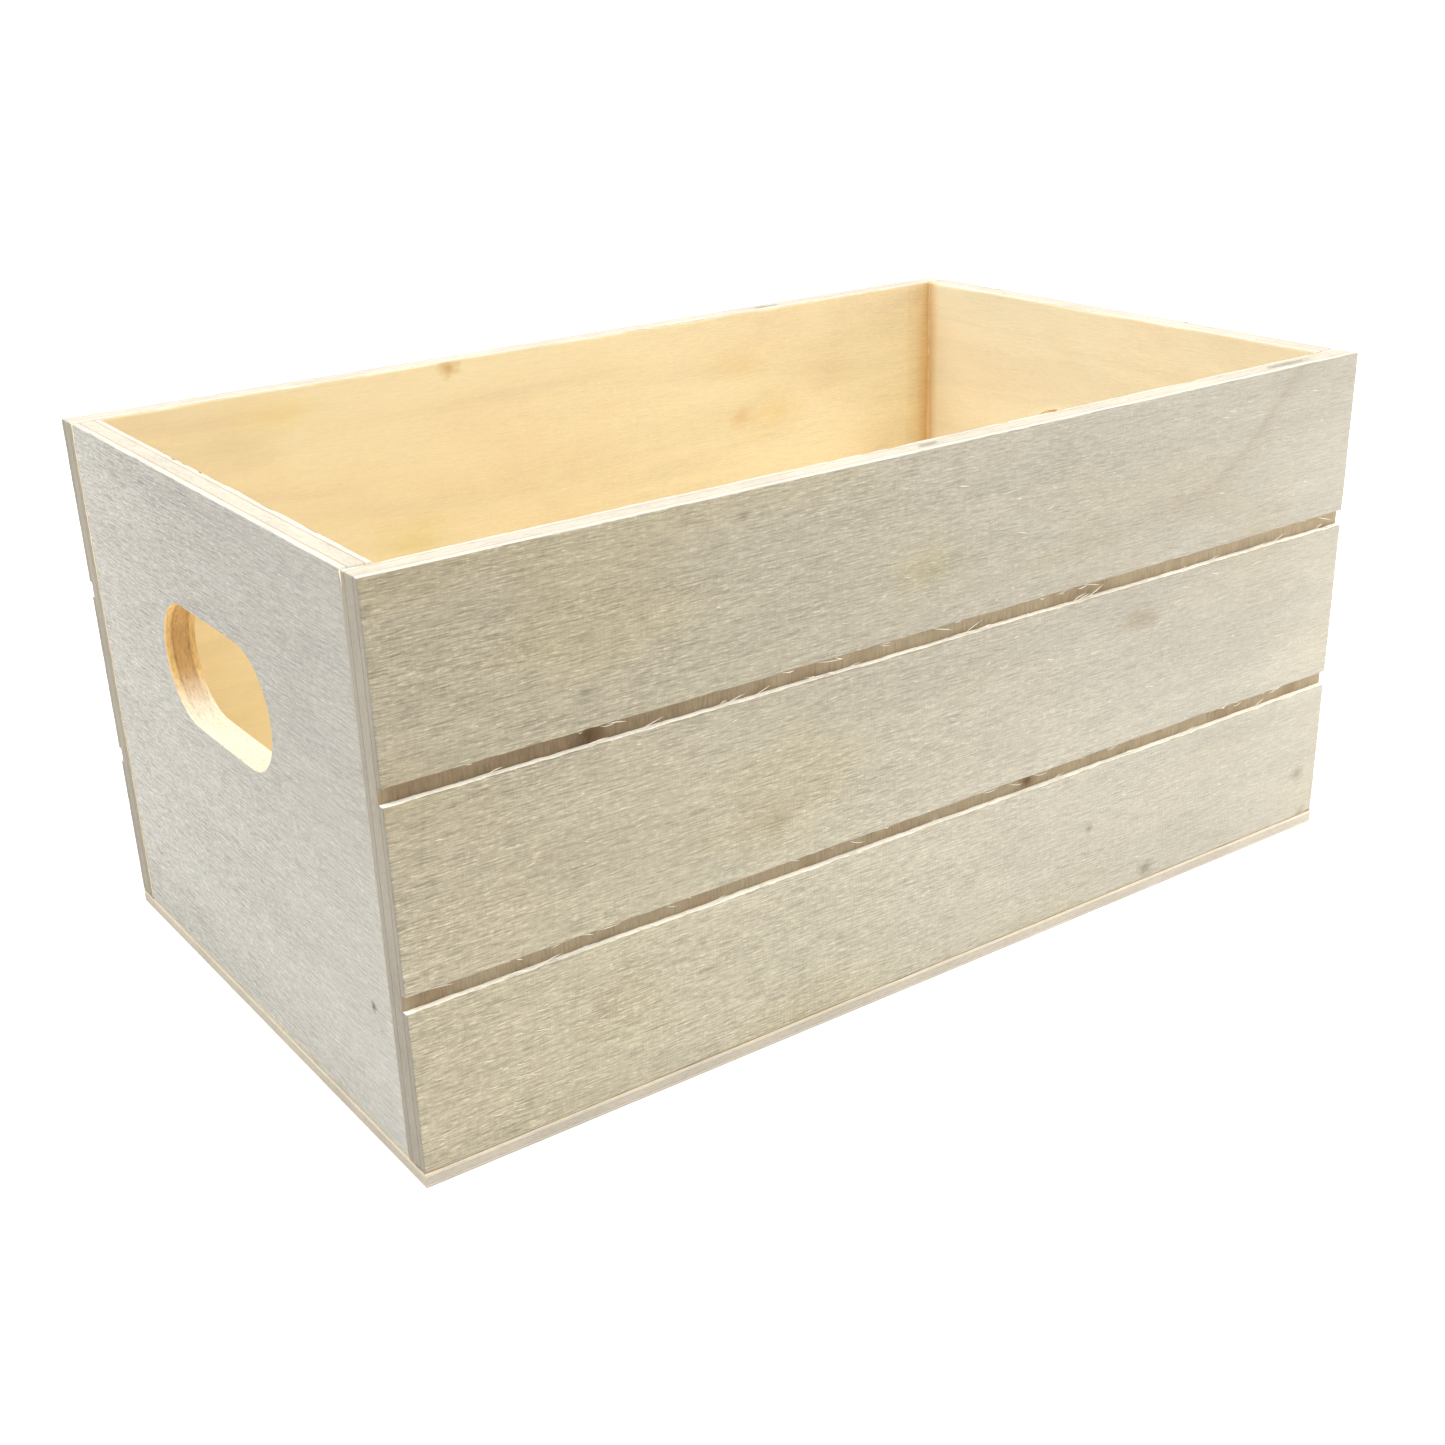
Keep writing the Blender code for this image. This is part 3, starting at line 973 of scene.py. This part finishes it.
def front_stain_and_shade(a, h):
    """Dark figure lines and a darker left end, yellow clouds, and grey clouds with painted shade, of the
    front face, as three shares.
    """
    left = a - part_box("front_panel")[0].x
    run = [(88, 73.5), (120, 75.2), (150, 78.6), (175, 82), (180, 84.5), (188, 91), (199, 102), (206, 109)]
    xs, zs = [x * MM for x, _ in run], [z * MM for _, z in run]
    bends = [np.interp(left + shift * MM, xs, zs) for shift in range(-4, 5, 2)]
    below = sum(bends) / len(bends) - h
    strength = smooth(60 * MM, 150 * MM, left)
    dark = 0.13 * strength * np.exp(-((below / (1.2 * MM)) ** 2)) * (h > 70.5 * MM)
    dark += 0.10 * strength * smooth(7 * MM, 0.0, below) * (below > 0) * smooth(150 * MM, 175 * MM, left)
    dark += 0.10 * blob(left, h, (158 * MM, 60 * MM), (7 * MM, 3 * MM))
    # Darker towards the left end.
    dark += 0.10 * smooth(60 * MM, 0.0, left)
    yellow = 0.25 * blob(left, h, (104 * MM, 81 * MM), (7 * MM, 4 * MM))
    yellow += 0.40 * smooth(170 * MM, 10 * MM, left)
    yellow += 0.25 * smooth(0.5, 0.8, rough(left / (38 * MM), h / (17 * MM), 7))
    clouds = smooth(0.35, 0.7, rough(left / (30 * MM), h / (20 * MM), 8))
    # Painted shade: the grey share deepens towards the top and is lightest low at the left, for the light
    # that the pale floor throws up onto the lower face; the clouds towards the right are grey tone in the
    # wood.
    shade = 0.47 * smooth(0.0, 95 * MM, h) + 0.12 * smooth(110 * MM, 216 * MM, left) * clouds
    shade += 0.14 * (1 - smooth(60 * MM, 10 * MM, h) * smooth(190 * MM, 130 * MM, left))
    return np.stack([np.clip(dark, 0, 1), np.clip(yellow, 0, 1), np.clip(shade, 0, 1)], axis=1)


def left_painted_shade(a, h):
    """Painted shade on the left end's outer face: a grey tint deepest at the top, towards the front, for the
    light from the floor that falls short up there.
    """
    shade = 0.50 * smooth(5 * MM, 95 * MM, h) * smooth(-75 * MM, 10 * MM, a)
    return np.stack([0 * shade, 0 * shade, shade], axis=1)


# Marks with a place, in mm: (along from the board's middle, height, half length, half height, tint)
FRONT_SPOTS = (
    (50, 60, 6.0, 2.6, (236, 230, 220)), (-36, 43, 4.0, 2.4, (234, 232, 226)),
    (39, 19, 1.3, 1.1, (214, 208, 198)), (56, 5, 2.2, 1.7, (206, 204, 200)),
    (102, 13, 2.2, 1.7, (216, 212, 200)), (-42, 98, 1.2, 1.1, (218, 214, 204)),
    (104, 3, 2.0, 1.6, (222, 220, 210)), (-3, 81, 9.0, 4.5, (253, 252, 242)),
)
GROOVE_SPOTS = (
    (-72, 68.5, 3.0, 2.6, (190, 174, 160)), (23, 33.5, 2.6, 2.2, (176, 154, 134)),
    (-78, 68.5, 40.0, 6.0, (214, 206, 198)),
)
BACK_INSIDE_SPOTS_AND_SHADE = (
    (-45, 90, 9.0, 4.0, (252, 246, 234)), (-45, 78, 4.0, 2.4, (246, 232, 214)),
    (-54, 78, 10.0, 5.0, (253, 247, 234)), (41, 66, 10.0, 5.0, (246, 246, 226)),
    (29, 100.5, 2.6, 1.8, (226, 204, 176)), (68, 97, 9.0, 4.0, (253, 248, 228)),
    # The last mark on the next line is painted shade: a tall, narrow, darker and warmer band down the inside
    # corner where the back panel meets the right end.
    (77, 92, 12.0, 5.0, (248, 247, 243)), (-103, 60, 5.0, 120.0, (236, 208, 168)),
)
# Painted shade: the same darker band down the right end's inside, at its corner with the back panel.
RIGHT_INSIDE_CORNER_SHADE = ((58, 60, 4.0, 120.0, (238, 212, 174)),)
LEFT_SPOTS = ((50.9, 27.7, 1.1, 1.1, (150, 144, 136)),)
FRONT_MARKS = {
    "stain_and_shade": front_stain_and_shade,
    "voids": ((84, 97), (-4, 2)),
    "tears": ((106, 62, 6), (107, 57, 5), (106, 29, 6), (107, 22, 5), (74, 54, 6), (116, 44, 7),
              (146, 41, 8), (71, 41, 5), (71, 16, 5), (104, 47, 4), (105, 20, 6)),
}
BACK_MARKS = {
    "tears": ((38, 82, 6), (61, 49, 7), (150, 15, 6), (171, 58, 5), (94, 88, 5)),
    "voids": ((-60, -51),),
}


# ---- glue


def glue_strip(name, start, end, across, inward, material, seed):
    """Dried glue in the joint between two boards: a thin strip with an uneven outer edge."""
    start, end, across, inward = (np.array(v, float) for v in (start, end, across, inward))
    length = np.linalg.norm(end - start)
    along = np.linspace(0, 1, max(2, int(length / (0.8 * MM))))
    place, sides = box_grid(len(along), 4, 4)
    i, j, k = place.T
    share = np.array([0, 1 / 3, 2 / 3, 1])
    recess = 0.10 * MM + 0.25 * MM * rough(along[i] * length / (3 * MM), 0.5, seed)
    recess = recess * (1 - share[k])
    points = start + (end - start) * along[i][:, None] + across * share[j][:, None]
    unit = inward / np.linalg.norm(inward)
    points = points + inward * share[k][:, None] + unit * recess[:, None]
    quads = np.concatenate(list(sides.values()))
    if volume(points, quads) < 0:
        quads = quads[:, ::-1]
    piece = add_mesh(name, points, quads, [material], np.zeros(len(quads)))
    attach(piece, "root")


def glue_material(name, dark, light):
    """Dried wood glue that has soaked into the fibres beside it."""
    material, tree, shader = new_material(name, specular=0.4)
    place = object_place(tree)
    patch = texture(tree, place, (4, 4, 4), detail=4.0)
    body = ramp(tree, patch, [(0.35, colour(*dark)), (0.65, colour(*light))])
    paint(tree, shader, body, patch, [(0.3, 0.7), (0.7, 0.45)], (0.4, 0.1 * MM))
    return material


def add_glue():
    """A strip in each of the four corner joints, and one along each side of the base."""
    material = glue_material("corner_glue", (214, 186, 146), (232, 210, 174))
    seam_material = glue_material("base_glue", (138, 116, 92), (176, 156, 132))
    front_low, front_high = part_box("front_panel")
    left_low, left_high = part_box("left_end_panel")
    base_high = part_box("base_board")[1]
    gap = left_low.y - front_high.y
    seam = front_low.z - base_high.z
    depth = left_high.x - left_low.x
    edge = 0.05 * MM
    soak = 0.25 * MM  # into the worn faces on both sides
    for side, x, inward in (("left", left_low.x, depth), ("right", -left_low.x, -depth)):
        start = x + math.copysign(edge, inward)
        for end, sign in (("front", 1), ("back", -1)):
            y = sign * (front_high.y - soak)
            step = sign * (gap + 2 * soak)
            glue_strip(f"glue_{end}_{side}", (start, y, front_low.z),
                       (start, y, front_high.z - 0.4 * MM), (0, step, 0),
                       (x + inward - start, 0, 0), material, 5 + len(end))
    reach_x, reach_y = front_high.x - edge, -front_low.y - edge
    depth = front_high.y - front_low.y - 2 * edge
    for end, sign in (("front", -1), ("back", 1)):
        y = sign * reach_y
        glue_strip(f"glue_base_{end}", (-reach_x, y, base_high.z), (reach_x, y, base_high.z),
                   (0, 0, seam), (0, -sign * depth, 0), seam_material, 9)
    inner_y = reach_y - depth - edge
    for end, sign in (("left", -1), ("right", 1)):
        x = sign * reach_x
        glue_strip(f"glue_base_{end}", (x, -inner_y, base_high.z), (x, inner_y, base_high.z),
                   (0, 0, seam), (-sign * depth, 0, 0), seam_material, 11)


# ---- the crate


def long_set(name, tones, inner, thickness, seed, marks=(), inner_marks_and_shade=(), groove_marks=()):
    """The finishes of a long panel, in the order of its slots."""
    grain = palette((143, 138, 127), (147, 141, 128), (132, 114, 98))
    floor = palette((139, 121, 95), (154, 139, 114), (147, 132, 106))
    return [
        face_material(name + "_face", tones, seed, stained_and_shaded=bool(marks), fuzz=0.8, marks=marks),
        face_material(name + "_inner_face", inner, seed + 1, gain=0.22, fuzz=0.15, marks=inner_marks_and_shade),
        edge_material(name + "_edge", thickness, palette(*EDGE_TONES), seed + 2),
        groove_material(name + "_groove", floor, seed + 3, groove_marks),
        edge_material(name + "_end_grain", thickness, grain, seed + 4),
        # The ledge finish is painted light: a near-white tone on each groove's up-facing lower wall, where
        # light falls.
        edge_material(name + "_ledge", 1.0, palette(*[LEDGE_PAINTED_LIGHT] * 3), seed + 5),
    ]


def end_set(name, tones, inner, thickness, seed, marks=(), inner_marks_and_shade=()):
    """The finishes of an end panel, in the order of its slots."""
    # The slot wall's golden brown is partly the plies' own colour and partly painted shade, for the shaded
    # upper wall of the slot.
    wall = palette((216, 180, 118), (192, 154, 102), (182, 144, 96))
    return [
        face_material(name + "_face", tones, seed, stained_and_shaded=bool(marks), gain=1.15, fuzz=0.7, marks=marks),
        face_material(name + "_inner_face", inner, seed + 1, gain=0.22, fuzz=0.15, marks=inner_marks_and_shade),
        edge_material(name + "_edge", thickness, palette(*EDGE_TONES), seed + 2),
        edge_material(name + "_slot_wall", thickness, wall, seed + 3, 0.06, 2.0, SLOT_PAINTED_LIGHT),
    ]


def base_set(tones, inner, thickness, seed):
    """The finishes of the base: underside, inside and cut edge."""
    edge = palette((196, 188, 172), (182, 173, 158), (170, 157, 141))
    return [
        face_material("base_underside", tones, seed, fuzz=0.6),
        face_material("base_inside", inner, seed + 1, gain=0.3, fuzz=0.2),
        edge_material("base_edge", thickness, edge, seed + 2),
    ]


# Painted light: the near-white tone of the grooves' up-facing ledges, for the light that they catch.
LEDGE_PAINTED_LIGHT = (248, 244, 232)
EDGE_TONES = ((187, 184, 174), (181, 175, 161), (166, 149, 128))  # face ply, core ply, glue line
SLOT_PAINTED_LIGHT = (60.0 * MM, (216, 206, 186))  # painted light: below this height the slot's up-facing lower wall fades to this pale tone


def build_crate():
    outer = palette((172, 166, 151), (176, 170, 155), (174, 168, 153), (177, 171, 157))
    # The inner faces are partly painted light: brighter and warmer than the outer faces, for light bouncing
    # round inside the crate.
    inner = palette((230, 211, 174), (233, 217, 180), (234, 220, 184), (229, 214, 176))
    # Painted light: the right end's inner face is brighter still, as it faces the light from the left.
    far = palette((234, 218, 188), (236, 223, 196), (236, 226, 199), (233, 220, 192))
    end = palette((171, 167, 159), (175, 172, 164), (174, 170, 161), (178, 175, 168))
    low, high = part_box("front_panel")
    wall = high.y - low.y
    low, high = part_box("base_board")
    front = long_set("front", outer, inner, wall, 1, FRONT_SPOTS, (), GROOVE_SPOTS)
    back = long_set("back", outer, inner, wall, 11, (), BACK_INSIDE_SPOTS_AND_SHADE)
    long_panel("front_panel", "front_panel_board", 0, 100, front, FRONT_MARKS)
    long_panel("back_panel", "back_panel_board", 2, 200, back, BACK_MARKS)
    left = end_set("left_end", end, inner, wall, 21, LEFT_SPOTS)
    right = end_set("right_end", end, far, wall, 31, (), RIGHT_INSIDE_CORNER_SHADE)
    end_panel("left_end_panel", "left_end_board", -1, 300, left, left_painted_shade)
    end_panel("right_end_panel", "right_end_board", 1, 400, right)
    under = palette((206, 189, 152), (210, 194, 158), (213, 197, 162), (205, 188, 152))
    base = base_set(outer, under, high.z - low.z, 41)
    base_board("base_board", "base_board_ply", 500, base)
    steel = steel_material()
    for node in brad_nodes():
        brad(node, node.replace("base_brad", "wire_brad"), steel)
    add_glue()
    add_fibres()


# ---- stage


def build_floor():
    """A pale paper floor, so wide that its far edge lies on the horizon."""
    half = 40.0
    mesh = bpy.data.meshes.new("floor")
    corners = [(-half, -half, 0), (half, -half, 0), (half, half, 0), (-half, half, 0)]
    mesh.from_pydata(corners, [], [(0, 1, 2, 3)])
    mesh.materials.append(floor_material())
    floor = new_object("floor", mesh)
    floor.location.z = -0.02 * MM


def build_light():
    """An even sky, a wide softbox and a small fill lamp."""
    world = bpy.data.worlds.new("studio")
    bpy.context.scene.world = world
    world.use_nodes = True
    background = world.node_tree.nodes["Background"]
    background.inputs["Color"].default_value = (0.97, 0.985, 1.0, 1.0)
    background.inputs["Strength"].default_value = SKY
    softbox = bpy.data.lights.new("softbox", "SUN")
    softbox.energy = SOFTBOX
    softbox.angle = math.radians(SOFTBOX_SPREAD)
    softbox.color = (1.0, 0.99, 0.96)
    lamp = new_object("softbox", softbox)
    lamp.rotation_euler = (0, math.radians(SOFTBOX_TILT), 0)
    fill = bpy.data.lights.new("fill", "AREA")
    fill.shape = "DISK"
    fill.size = FILL_SIZE
    fill.energy = FILL_POWER
    lamp = new_object("fill", fill)
    lamp.location = FILL_PLACE
    lamp.visible_camera = False
    aim = Vector(FILL_PLACE) - Vector(FILL_AIM)
    lamp.rotation_euler = aim.to_track_quat("Z", "Y").to_euler()
    bpy.context.scene.view_settings.view_transform = "Standard"


def build_camera():
    data = bpy.data.cameras.new("camera")
    data.lens = LENS
    data.shift_y = CAMERA_SHIFT
    data.clip_start = 0.01
    camera = new_object("camera", data)
    turn = Matrix.Rotation(math.radians(-CAMERA_AZIMUTH), 4, "Z")
    tilt = Matrix.Rotation(math.radians(90 + CAMERA_ELEVATION), 4, "X")
    roll = Matrix.Rotation(math.radians(CAMERA_ROLL), 4, "Z")
    camera.matrix_world = Matrix.Translation(CAMERA_PLACE) @ turn @ tilt @ roll
    bpy.context.scene.camera = camera


build_crate()
build_floor()
build_light()
build_camera()
